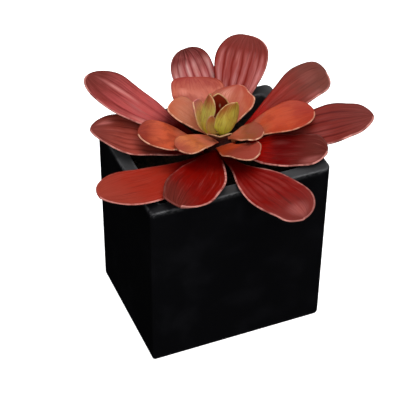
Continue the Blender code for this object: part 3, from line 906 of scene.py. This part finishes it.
def midrib(leaf, share):
    """Points along the middle of the leaf, its direction there, and the direction to its left.

    In the upright plane of its heading the midrib is a cubic Bezier curve that leaves the stem at the
    angle rise and ends at end_rise, with handles a fixed part of the chord; bend times the share squared
    carries it sideways.
    """
    lean = np.radians([leaf.rise, leaf.end_rise])
    rim = POT_HEIGHT / MM
    start = np.array([root_distance(leaf), rim + leaf.root])
    end = np.array([leaf.reach, rim + leaf.tip])
    handle = MIDRIB_HANDLE * np.linalg.norm(end - start)
    first = start + handle * np.array([np.cos(lean[0]), np.sin(lean[0])])
    second = end - handle * np.array([np.cos(lean[1]), np.sin(lean[1])])
    s = share[:, None]
    r = 1.0 - s
    flat = r**3 * start + 3 * s * r**2 * first + 3 * s**2 * r * second + s**3 * end
    slope = r**2 * (first - start) + 2 * s * r * (second - first) + s**2 * (end - second)
    heading = np.radians(leaf.heading)
    outward = np.array([np.cos(heading), np.sin(heading), 0.0])
    left = np.array([-np.sin(heading), np.cos(heading), 0.0])
    up = np.array([0.0, 0.0, 1.0])
    axis = np.array([STEM_X, STEM_Y, 0.0]) / MM
    points = axis + flat[:, :1] * outward + leaf.bend * s**2 * left + flat[:, 1:] * up
    along = slope[:, :1] * outward + 2 / 3 * leaf.bend * s * left + slope[:, 1:] * up
    along /= np.linalg.norm(along, axis=1, keepdims=True)
    return points, along, left


def leaf_relief(leaf, share, across):
    """Height of the ribs, veins, crease, edge wave and soft undulation over the blade, in millimetres.

    Ribs are broad rounded crests between narrow grooves, 1 minus twice a power of a raised cosine, veins
    are plain cosines across the blade, the crease is a narrow valley along the midrib with a fold of
    straight sides, the wave grows with the cube of the distance from the midrib, and the undulation is
    three seeded sine waves. All fade out at the root and the tip.
    """
    kind = leaf.kind
    fade = np.sin(np.pi * np.clip(share, 0.0, 1.0))[:, None]
    lowness = 0.5 - 0.5 * np.cos(np.pi * (leaf.ribs * across + leaf.ribs - 1))
    rib = kind.rib_height * leaf.rib_depth * fade * (1.0 - 2.0 * lowness**GROOVE_POWER)
    phase = EDGE_WAVE_TURNS * 2 * np.pi * share + np.radians(leaf.heading)
    wave = kind.edge_wave * fade * np.sin(phase)[:, None] * across**3
    vein = kind.vein_height * np.sqrt(fade) * np.cos(np.pi * kind.vein_count * across)
    crease = -kind.crease * fade * np.exp(-((across / CREASE_WIDTH) ** 2))
    crease = crease - leaf.fold * fade * np.abs(across)
    random = np.random.default_rng(int(10 * (leaf.heading + 360)))
    soft = np.zeros((len(share), len(across)))
    for turns in UNDULATION_TURNS:
        start = random.uniform(0, 2 * np.pi)
        lean = random.uniform(-1.6, 1.6)
        soft += np.sin(2 * np.pi * turns * share[:, None] + lean * np.pi * across + start) / turns
    return rib + wave + vein + crease + kind.undulation * fade * soft


def leaf_sheet(leaf, share, across):
    """The blade's middle surface, its normal and its thickness, as grids of rows along and columns across.

    Each row is an arc of the blade's half width that curls up by the cup angle at its edges, lifted by the
    relief. A corner moves the edge by a smooth step of the share. The normal is the arc's own. The
    thickness falls from the middle to the edge as 1 - v squared.
    """
    kind = leaf.kind
    points, along, left = midrib(leaf, share)
    side = left - (along @ left)[:, None] * along
    side /= np.linalg.norm(side, axis=1, keepdims=True)
    upward = np.cross(along, side)
    roll = np.radians(leaf.roll) * np.sin(np.pi / 2 * np.clip(share / ROLL_REACHED_AT, 0.0, 1.0))[:, None]
    side, upward = side * np.cos(roll) + upward * np.sin(roll), upward * np.cos(roll) - side * np.sin(roll)

    cup = np.radians(leaf.cup)
    curl = across * cup
    turns = EDGE_WOBBLE_TURNS * 2 * np.pi * share[:, None]
    wobble = np.sin(turns + EDGE_WOBBLE_SHIFT * across + np.radians(leaf.heading))
    half = outline(leaf, share)[:, None] * (1.0 + kind.edge_wobble * wobble)
    ahead = np.zeros_like(half)
    for corner in leaf.corners:
        rise = np.clip(1.0 - np.abs(share - corner.along) / corner.half_length, 0.0, 1.0)[:, None]
        rise = rise**2 * (3.0 - 2.0 * rise) * np.clip(corner.side * across, 0.0, 1.0) ** 2
        half += corner.out * rise
        ahead += corner.forward * rise
    sideways = half * np.sin(curl) / cup
    lift = half * (1.0 - np.cos(curl)) / cup + leaf_relief(leaf, share, across)
    slanting = np.clip((share - SLANT_STARTS_AT) / (1.0 - SLANT_STARTS_AT), 0.0, 1.0)[:, None]
    forward = np.tan(np.radians(leaf.slant)) * slanting * sideways + ahead
    middle = points[:, None] + sideways[..., None] * side[:, None] + lift[..., None] * upward[:, None]
    middle += forward[..., None] * along[:, None]
    normal = np.cos(curl)[:, None] * upward[:, None] - np.sin(curl)[:, None] * side[:, None]

    thinning = np.clip(share / ROOT_THICKNESS_ENDS_AT, 0.0, 1.0)[:, None]
    middle_thickness = kind.root_thickness + (kind.middle_thickness - kind.root_thickness) * thinning
    thickness = kind.edge_thickness + (middle_thickness - kind.edge_thickness) * (1.0 - across**2)
    return middle, normal, thickness


def edge_distance(points, border):
    """Distance from each point to the nearest place on a line of border points.

    Each point is dropped onto every stretch between neighbouring border points, held within its ends.
    """
    start, run = border[:-1], np.diff(border, axis=0)
    away = points[:, None] - start[None]
    squared = np.maximum(np.sum(run**2, axis=1), 1e-9)
    share = np.clip(np.sum(away * run[None], axis=-1) / squared, 0.0, 1.0)
    return np.linalg.norm(away - share[..., None] * run[None], axis=-1).min(axis=1)


def rim_rings(top, bottom, tip):
    """Rings of points on half circles that join the upper and the lower outline of a blade.

    Each half circle stands on the line between a top and a bottom point, and bulges away from the blade:
    out is the cross product of that line and the outline's run, turned so that it points outwards at tip.
    """
    centre = (top + bottom) / 2
    up = (top - bottom) / 2
    radius = np.linalg.norm(up, axis=1, keepdims=True)
    out = np.cross(up, np.gradient(centre, axis=0))
    out /= np.linalg.norm(out, axis=1, keepdims=True)
    out *= np.sign(np.sum(out[tip] * (centre[tip] - centre[0])))
    turns = np.linspace(np.pi / 2, -np.pi / 2, RIM_STEPS + 1)[1:-1]
    return [centre + np.sin(t) * up + np.cos(t) * radius * out for t in turns]


def leaf_mesh(leaf, root_sink):
    """Points, faces and attributes of a closed blade.

    The upper and lower faces are the middle surface moved by half the thickness along its normal, each
    ending in one point at the tip. A half round strip, carried along the whole outline from the root
    round the tip and back, joins them, and a fan closes the root.
    """
    share = row_shares(leaf, root_sink)
    columns = leaf.kind.columns + 1
    spread = np.linspace(-1.0, 1.0, columns) * np.pi / 2 * COLUMN_CROWDING
    across = np.sin(spread) / np.sin(np.pi / 2 * COLUMN_CROWDING)
    middle, normal, thickness = leaf_sheet(leaf, share, across)
    offset = thickness[..., None] / 2 * normal
    rows = len(share) - 1
    body = rows * columns
    faces, sheets, labels, margins = [], [], [], []
    for under, sign in enumerate((1, -1)):
        surface = middle + sign * offset
        start = under * (body + 1)
        sheet = np.concatenate([surface[:-1].reshape(-1, 3), surface[-1].mean(axis=0)[None]])
        border = np.concatenate([surface[:-1, 0], sheet[-1:], surface[-2::-1, -1]])
        sheets.append(sheet)
        margins.append(edge_distance(sheet, border))
        last = start + np.arange(columns) + body - columns
        closing = np.stack([last[:-1], last[1:], np.full(columns - 1, start + body)], axis=-1)
        faces += [grid_quads(rows, columns, start)[:, ::-sign], closing[:, ::-sign]]
        along_values = np.append(np.repeat(share[:-1], columns), 1.0)
        across_values = np.append(np.tile(across, rows), 0.0)
        labels.append(np.stack([across_values, along_values, np.zeros(body + 1), np.full(body + 1, under)]))

    left_side = np.arange(rows) * columns
    upper_loop = np.concatenate([left_side, [body], (left_side + columns - 1)[::-1]])
    lower_loop = upper_loop + body + 1
    points = np.concatenate(sheets)
    rings = rim_rings(points[upper_loop], points[lower_loop], rows)
    count = len(upper_loop)
    rim_loops = len(points) + np.arange(len(rings) * count).reshape(-1, count)
    numbers = [upper_loop, *rim_loops, lower_loop]
    for upper, lower in zip(numbers, numbers[1:]):
        faces.append(np.stack([upper[:-1], upper[1:], lower[1:], lower[:-1]], axis=-1))
    rim_across = np.concatenate([np.full(rows, -1.0), [0.0], np.full(rows, 1.0)])
    rim_along = np.concatenate([share[:-1], [1.0], share[:-1][::-1]])
    labels += [np.stack([rim_across, rim_along, np.ones(count), np.zeros(count)])] * len(rings)

    first = np.arange(columns)
    right_end = [ring[-1] for ring in numbers[1:-1]]
    left_end = [ring[0] for ring in numbers[-2:0:-1]]
    root_loop = np.concatenate([first, right_end, (first + body + 1)[::-1], left_end])
    points = np.concatenate([points, *rings])
    faces.append(fan(root_loop, len(points))[:, ::-1])
    points = np.concatenate([points, points[root_loop].mean(axis=0)[None]])
    labels.append(np.array([[0.0], [share[0]], [0.0], [0.0]]))
    attributes = dict(zip(("across", "along", "rim", "under"), np.concatenate(labels, axis=1)))
    attributes["margin"] = np.zeros(len(points))
    attributes["margin"][: 2 * (body + 1)] = np.concatenate(margins)
    return points * MM, faces, attributes


def build_leaves(kind, leaves, rim_colour):
    """Every leaf of one whorl."""
    root_sink = bpy.context.scene.succulent_leaves.root_sink / MM
    for number, leaf in enumerate(leaves):
        name = f"{kind.slot}_{number + 1:02d}"
        points, faces, attributes = leaf_mesh(leaf, root_sink)
        material = leaf_material(name, leaf, rim_colour, kind.first_seed + number)
        make_piece(name + "_blade", material, points, faces, attributes, name)
    return {"FINISHED"}


class SUCCULENT_OT_outer_leaves(bpy.types.Operator):
    """Adds the ten long ribbed leaves"""

    bl_idname = "succulent.outer_leaves"
    bl_label = "Outer Leaves"

    def execute(self, context):
        return build_leaves(OUTER, OUTER_LEAVES, context.scene.succulent_leaves.outer_rim)


class SUCCULENT_OT_middle_leaves(bpy.types.Operator):
    """Adds the eight shorter leaves above the outer ones"""

    bl_idname = "succulent.middle_leaves"
    bl_label = "Middle Leaves"

    def execute(self, context):
        return build_leaves(MIDDLE, MIDDLE_LEAVES, context.scene.succulent_leaves.middle_rim)


class SUCCULENT_OT_heart_leaves(bpy.types.Operator):
    """Adds the six small leaves that stand round the heart"""

    bl_idname = "succulent.heart_leaves"
    bl_label = "Heart Leaves"

    def execute(self, context):
        return build_leaves(HEART, HEART_LEAVES, context.scene.succulent_leaves.heart_rim)


# Planter

def box_ring(half_x, half_y, radii):
    """Points round a rectangle with round corners, anticlockwise from the right end of its back corner.

    Each corner is a quarter circle of its own radius, and each straight side is divided evenly.
    """
    arcs = []
    for quarter, (side_x, side_y) in enumerate(((1, 1), (-1, 1), (-1, -1), (1, -1))):
        radius = radii[quarter]
        turn = np.linspace(0.0, np.pi / 2, CORNER_STEPS + 1) + quarter * np.pi / 2
        x = side_x * (half_x - radius) + radius * np.cos(turn)
        y = side_y * (half_y - radius) + radius * np.sin(turn)
        arcs.append(np.stack([x, y], axis=1))
    steps = np.linspace(0.0, 1.0, SIDE_STEPS + 1)[1:-1, None]
    sides = [arc[-1] + steps * (after[0] - arc[-1]) for arc, after in zip(arcs, arcs[1:] + arcs[:1])]
    return np.concatenate([part for pair in zip(arcs, sides) for part in pair])


def pot_ring(inset, height, settings):
    """The planter's outline at this height, drawn in by the inset."""
    share = POT_FOOT_SHARE + (1.0 - POT_FOOT_SHARE) * height / POT_HEIGHT
    corner = settings.corner_radius
    radii = np.array([corner, corner, settings.front_left_radius, corner]) - min(inset, settings.edge_radius)
    ring = box_ring(POT_WIDTH / 2 * share - inset, POT_DEPTH / 2 * share - inset, radii)
    return np.column_stack([ring, np.full(len(ring), height)])


def arc_steps():
    """Pairs of sine and cosine in even steps from 0 to 90 degrees."""
    turn = np.linspace(0.0, np.pi / 2, EDGE_STEPS + 1)
    return list(zip(np.sin(turn), np.cos(turn)))


def planter_profile(edge):
    """The planter's section from the foot's edge up the outside, over the rim and down to the floor.

    A list of (inset, height, closeness to an edge, painted sheen), with each edge a quarter circle. The
    painted sheen stands in for reflected light and lies on the rim and, weaker, on the inner wall.
    """
    room = EDGE_ROOM * edge
    outside = np.linspace(room, POT_HEIGHT - room, OUTSIDE_STEPS)
    rim_top = np.linspace(2 * edge, POT_WALL - 2 * edge, RIM_TOP_STEPS)
    inside = np.linspace(POT_HEIGHT - room, POT_FLOOR, INSIDE_STEPS)
    path = [(edge, 0.0, 0.1, 0.0)]
    path += [(edge * (1 - s), edge * (1 - c), 0.2, 0.0) for s, c in arc_steps()]
    path += [(0.0, height, 0.0, 0.0) for height in outside]
    path += [(edge * (1 - c), POT_HEIGHT - edge * (1 - s), 1.0, s) for s, c in arc_steps()]
    path += [(inset, POT_HEIGHT, 0.0, 1.0) for inset in rim_top]
    path += [(POT_WALL - edge * (1 - s), POT_HEIGHT - edge * (1 - c), 1.0, 1.0) for s, c in arc_steps()]
    path += [(POT_WALL, height, 0.0, 0.7) for height in inside]
    return path


class SUCCULENT_OT_planter(bpy.types.Operator):
    """Adds the planter with rounded edges"""

    bl_idname = "succulent.planter"
    bl_label = "Planter"

    def execute(self, context):
        settings = context.scene.succulent_planter
        path = planter_profile(settings.edge_radius)
        rings = [pot_ring(inset, height, settings) for inset, height, *_ in path]
        points, faces = closed_stack(np.array(rings))
        count = (len(points) - 2) // len(path)
        labels = np.array([row[2:] for row in path]).T
        edge, painted_sheen = (np.append(np.repeat(values, count), [0.0, 0.0]) for values in labels)
        from_corner = np.hypot(points[:, 0] - POT_LOW.x, points[:, 1] - POT_LOW.y)
        # The painted sheen grows towards the back as painted reflection, and fades near the front left corner
        # as painted shade of the leaves over it
        painted_sheen *= (0.75 + 0.5 * points[:, 1] / POT_DEPTH) * np.clip(from_corner / CORNER_SHADE_REACH, 0.0, 1.0) ** 2
        material = planter_material(settings.colour)
        make_piece("planter_body", material, points, faces, {"edge": edge, "painted_sheen": painted_sheen}, "pot")
        return {"FINISHED"}


# Soil and stem

LUMP_POLES = np.array([[0, 0, 1], [1, 0, 0], [0, 1, 0], [-1, 0, 0], [0, -1, 0], [0, 0, -1]], dtype=float)
LUMP_EDGES = ((0, 1), (0, 2), (0, 3), (0, 4), (1, 2), (2, 3), (3, 4), (4, 1), (5, 1), (5, 2), (5, 3), (5, 4))
LUMP_SIDES = ((0, 1, 2), (0, 2, 3), (0, 3, 4), (0, 4, 1), (5, 2, 1), (5, 3, 2), (5, 4, 3), (5, 1, 4))


def lump():
    """Points and faces of an octahedron whose sides are split in four, with all corners on a unit sphere."""
    middles = LUMP_POLES[np.array(LUMP_EDGES)].mean(axis=1)
    middles /= np.linalg.norm(middles, axis=1, keepdims=True)
    number = {frozenset(pair): len(LUMP_POLES) + k for k, pair in enumerate(LUMP_EDGES)}
    faces = []
    for a, b, c in LUMP_SIDES:
        ab, bc, ca = (number[frozenset(pair)] for pair in ((a, b), (b, c), (c, a)))
        faces += [(a, ab, ca), (ab, b, bc), (ca, bc, c), (ab, bc, ca)]
    return np.concatenate([LUMP_POLES, middles]), np.array(faces)


def soil_lift(x, y, relief):
    """Height of the soil's unevenness at a place.

    It is a sum over shrinking wavelengths of the product of two sine waves in drawn directions.
    """
    random = np.random.default_rng(SOIL_SEED)
    total = np.zeros(np.shape(x))
    for wavelength in SOIL_WAVES:
        turn, start = random.uniform(0, 2 * np.pi, 2)
        other, shift = random.uniform(0, 2 * np.pi, 2)
        first = np.sin(2 * np.pi * (x * np.cos(turn) + y * np.sin(turn)) / (wavelength * MM) + start)
        second = np.sin(2 * np.pi * (x * np.cos(other) + y * np.sin(other)) / (wavelength * MM) + shift)
        total += first * second * wavelength**0.6
    return relief * total / 6


def soil_mound(share):
    """The soil's rise towards the stem: share 0 is at the stem's hole and 1 at the planter's wall."""
    return SOIL_MOUND * (1.0 - share) ** 1.5


class SUCCULENT_OT_soil(bpy.types.Operator):
    """Adds the soil and the crumbs on it"""

    bl_idname = "succulent.soil"
    bl_label = "Soil"

    def execute(self, context):
        settings = context.scene.succulent_soil
        planter = context.scene.succulent_planter
        gap = SEAT_GAP * MM
        edge = pot_ring(POT_WALL + gap, SOIL_LEVEL, planter)
        angle = np.arctan2(edge[:, 1] - STEM_Y, edge[:, 0] - STEM_X)
        radius = stem_radius(-SOIL_BELOW_RIM) * MM + gap
        level = np.full(len(edge), SOIL_LEVEL)
        hole = np.column_stack([STEM_X + radius * np.cos(angle), STEM_Y + radius * np.sin(angle), level])
        share = np.linspace(1.0, 0.0, SOIL_ROWS)[:, None]
        surface = hole[None] + share[..., None] * (edge - hole)[None]
        inside = np.minimum(1.0, (1.0 - share) / SOIL_LEVEL_EDGE) * np.minimum(1.0, share / SOIL_LEVEL_EDGE)
        lift = soil_lift(surface[..., 0], surface[..., 1], settings.relief)
        surface[..., 2] += soil_mound(share) + inside * lift
        foot = pot_ring(POT_WALL + gap, POT_FLOOR + gap, planter)
        bottom = hole.copy()
        bottom[:, 2] = STEM_LOW.z - gap
        points, faces = closed_stack(np.concatenate([foot[None], surface, bottom[None]]))
        material = soil_material(settings.colour)
        make_piece("soil_body", material, points, faces, node="soil")
        self.add_crumbs(settings, material)
        return {"FINISHED"}

    def add_crumbs(self, settings, material):
        """Irregular lumps, half sunk in the soil's surface, scattered by a seeded draw."""
        random = np.random.default_rng(CRUMB_SEED)
        count = settings.crumb_count
        half_x = POT_WIDTH / 2 * POT_FOOT_SHARE - POT_WALL - CRUMBS_OFF_WALL
        half_y = POT_DEPTH / 2 * POT_FOOT_SHARE - POT_WALL - CRUMBS_OFF_WALL
        x, y = random.uniform(-half_x, half_x, count), random.uniform(-half_y, half_y, count)
        from_stem = np.hypot(x - STEM_X, y - STEM_Y)
        kept = from_stem > stem_radius(-SOIL_BELOW_RIM) * MM + CRUMBS_OFF_STEM
        x, y, from_stem = x[kept], y[kept], from_stem[kept]
        z = SOIL_LEVEL + soil_mound(np.clip(from_stem / half_y, 0.0, 1.0)) + soil_lift(x, y, settings.relief)
        size = settings.crumb_size * random.uniform(0.45, 1.5, len(x)) ** 1.3
        corners, faces = lump()
        rough = random.uniform(0.7, 1.25, (len(x), len(corners), 1))
        squeeze = random.uniform(0.6, 1.2, (len(x), 1, 3))
        turn = random.uniform(0, 2 * np.pi, len(x))[:, None]
        lumps = corners[None] * rough * squeeze * size[:, None, None]
        turned_x = lumps[..., 0] * np.cos(turn) - lumps[..., 1] * np.sin(turn)
        turned_y = lumps[..., 0] * np.sin(turn) + lumps[..., 1] * np.cos(turn)
        lumps = np.stack([turned_x, turned_y, lumps[..., 2]], axis=-1) + np.stack([x, y, z], axis=1)[:, None]
        numbers = faces[None] + len(corners) * np.arange(len(x))[:, None, None]
        make_piece("soil_crumbs", material, lumps.reshape(-1, 3), [numbers.reshape(-1, 3)])


class SUCCULENT_OT_stem(bpy.types.Operator):
    """Adds the short stem with its leaf scars"""

    bl_idname = "succulent.stem"
    bl_label = "Stem"

    def execute(self, context):
        settings = context.scene.succulent_stem
        low = (STEM_LOW.z - POT_HEIGHT) / MM
        height = np.linspace(low, STEM_PROFILE[-1][0], STEM_ROWS)[:, None]
        turn = np.linspace(0.0, 2 * np.pi, STEM_COLUMNS, endpoint=False)[None]
        scars = np.sin(8 * turn + 1.9 * height) * np.sin(1.3 * height + 5 * turn)
        radius = stem_radius(height) * MM - settings.scar_depth * np.clip(scars, 0.0, 1.0)
        z = np.broadcast_to(POT_HEIGHT + height * MM, radius.shape)
        rings = np.stack([STEM_X + radius * np.cos(turn), STEM_Y + radius * np.sin(turn), z], axis=-1)
        points, faces = closed_stack(rings)
        make_piece("stem_bark", stem_material(settings.colour), points, faces, node="stem")
        return {"FINISHED"}


# Stage

CAMERA_TARGET = Vector((1.44, 28.0, 79.0)) * MM
SENSOR_WIDTH = 36.0
FLOOR_HALF = 6.0

# Lights: power in watts, size in metres, azimuth and elevation in degrees, distance in metres, gleams or not
LIGHTS = {
    "overhead": (11.5, 1.2, 50, 76, 1.3, True),
    "behind": (8.5, 0.9, 160, 48, 1.2, False),
    "front": (6.3, 0.8, -20, 32, 1.2, False),
    "left": (2.2, 0.8, -105, 38, 1.2, False),
}


def direction(azimuth, elevation):
    """The unit vector from the object towards a viewer at that azimuth and elevation in degrees."""
    a, e = np.radians(azimuth), np.radians(elevation)
    return Vector((np.sin(a) * np.cos(e), -np.cos(a) * np.cos(e), np.sin(e)))


class SUCCULENT_OT_stage(bpy.types.Operator):
    """Adds the floor, the lights and the camera"""

    bl_idname = "succulent.stage"
    bl_label = "Stage"

    def execute(self, context):
        settings = context.scene.succulent_stage
        self.add_floor(context.scene, settings)
        self.add_lights(context.scene)
        self.add_sky(context.scene)
        self.add_camera(context.scene, settings)
        context.scene.view_settings.view_transform = "Standard"
        context.scene.view_settings.look = "None"
        return {"FINISHED"}

    def add_floor(self, scene, settings):
        """A wide pale floor that lights nothing itself."""
        corners = [(x * FLOOR_HALF, y * FLOOR_HALF, 0) for x, y in ((-1, -1), (1, -1), (1, 1), (-1, 1))]
        data = bpy.data.meshes.new("floor")
        data.from_pydata(corners, [], [(0, 1, 2, 3)])
        material, tree, shader = new_material("floor_pale")
        shader.inputs["Base Color"].default_value = (*settings.floor_colour, 1.0)
        shader.inputs["Roughness"].default_value = 0.9
        shader.inputs["Specular IOR Level"].default_value = 0.0
        shader.inputs["Emission Color"].default_value = (1.0, 1.0, 1.0, 1.0)
        shader.inputs["Emission Strength"].default_value = 1.0
        data.materials.append(material)
        floor = bpy.data.objects.new("floor", data)
        scene.collection.objects.link(floor)
        floor.visible_diffuse = False
        floor.visible_glossy = False

    def add_lights(self, scene):
        """Square soft lights that look at the rim: a key light overhead that gives the gleams, and fills."""
        target = Vector((0.0, 0.0, POT_HEIGHT))
        for name, (power, size, azimuth, elevation, distance, gleams) in LIGHTS.items():
            light = bpy.data.lights.new(name, "AREA")
            light.size = size
            light.energy = power
            made = bpy.data.objects.new(name, light)
            scene.collection.objects.link(made)
            made.location = target + distance * direction(azimuth, elevation)
            made.rotation_euler = (made.location - target).to_track_quat("Z", "Y").to_euler()
            made.visible_glossy = gleams

    def add_sky(self, scene):
        """A sky that is white to the camera and a dim glow from above to all else."""
        world = bpy.data.worlds.new("studio")
        scene.world = world
        world.use_nodes = True
        tree = world.node_tree
        seen = Value(add_node(tree, "ShaderNodeLightPath").outputs["Is Camera Ray"])
        place = Value(add_node(tree, "ShaderNodeTexCoord").outputs["Generated"])
        height = Value(add_node(tree, "ShaderNodeSeparateXYZ", {0: place}).outputs[2])
        plug(tree.nodes["Background"].inputs["Strength"], height.ramp(-0.1, 0.6, 0.02, 0.12).at_least(seen))

    def add_camera(self, scene, settings):
        """The camera, on a line through its target, rolled a little about that line."""
        data = bpy.data.cameras.new("camera")
        data.lens = settings.focal_length
        data.sensor_width = SENSOR_WIDTH
        camera = bpy.data.objects.new("camera", data)
        scene.collection.objects.link(camera)
        back = direction(settings.azimuth, settings.elevation)
        right = Vector((0, 0, 1)).cross(back).normalized()
        up = back.cross(right)
        roll = np.radians(settings.roll)
        turned_right = right * np.cos(roll) + up * np.sin(roll)
        turned_up = up * np.cos(roll) - right * np.sin(roll)
        place = Matrix((turned_right, turned_up, back)).transposed().to_4x4()
        place.translation = CAMERA_TARGET + settings.distance * back
        camera.matrix_world = place
        scene.camera = camera


# Add-on

SETTINGS = {
    "succulent_planter": PlanterSettings,
    "succulent_soil": SoilSettings,
    "succulent_stem": StemSettings,
    "succulent_leaves": LeafSettings,
    "succulent_stage": StageSettings,
}
OPERATORS = (
    SUCCULENT_OT_planter,
    SUCCULENT_OT_soil,
    SUCCULENT_OT_stem,
    SUCCULENT_OT_outer_leaves,
    SUCCULENT_OT_middle_leaves,
    SUCCULENT_OT_heart_leaves,
    SUCCULENT_OT_stage,
)


class SUCCULENT_PT_panel(bpy.types.Panel):
    """The succulent's settings and builders"""

    bl_label = "Potted Succulent"
    bl_space_type = "VIEW_3D"
    bl_region_type = "UI"
    bl_category = "Succulent"

    def draw(self, context):
        for name, group in SETTINGS.items():
            column = self.layout.column(align=True)
            for field in group.__annotations__:
                column.prop(getattr(context.scene, name), field)
        for operator in OPERATORS:
            self.layout.operator(operator.bl_idname)


def register():
    for made in (*SETTINGS.values(), *OPERATORS, SUCCULENT_PT_panel):
        bpy.utils.register_class(made)
    for name, made in SETTINGS.items():
        setattr(bpy.types.Scene, name, PointerProperty(type=made))


def unregister():
    for name in SETTINGS:
        delattr(bpy.types.Scene, name)
    for made in reversed((*SETTINGS.values(), *OPERATORS, SUCCULENT_PT_panel)):
        bpy.utils.unregister_class(made)


def main():
    register()
    bpy.ops.succulent.planter()
    bpy.ops.succulent.soil()
    bpy.ops.succulent.stem()
    bpy.ops.succulent.outer_leaves()
    bpy.ops.succulent.middle_leaves()
    bpy.ops.succulent.heart_leaves()
    bpy.ops.succulent.stage()
    bpy.context.view_layer.update()


if __name__ == "__main__":
    main()
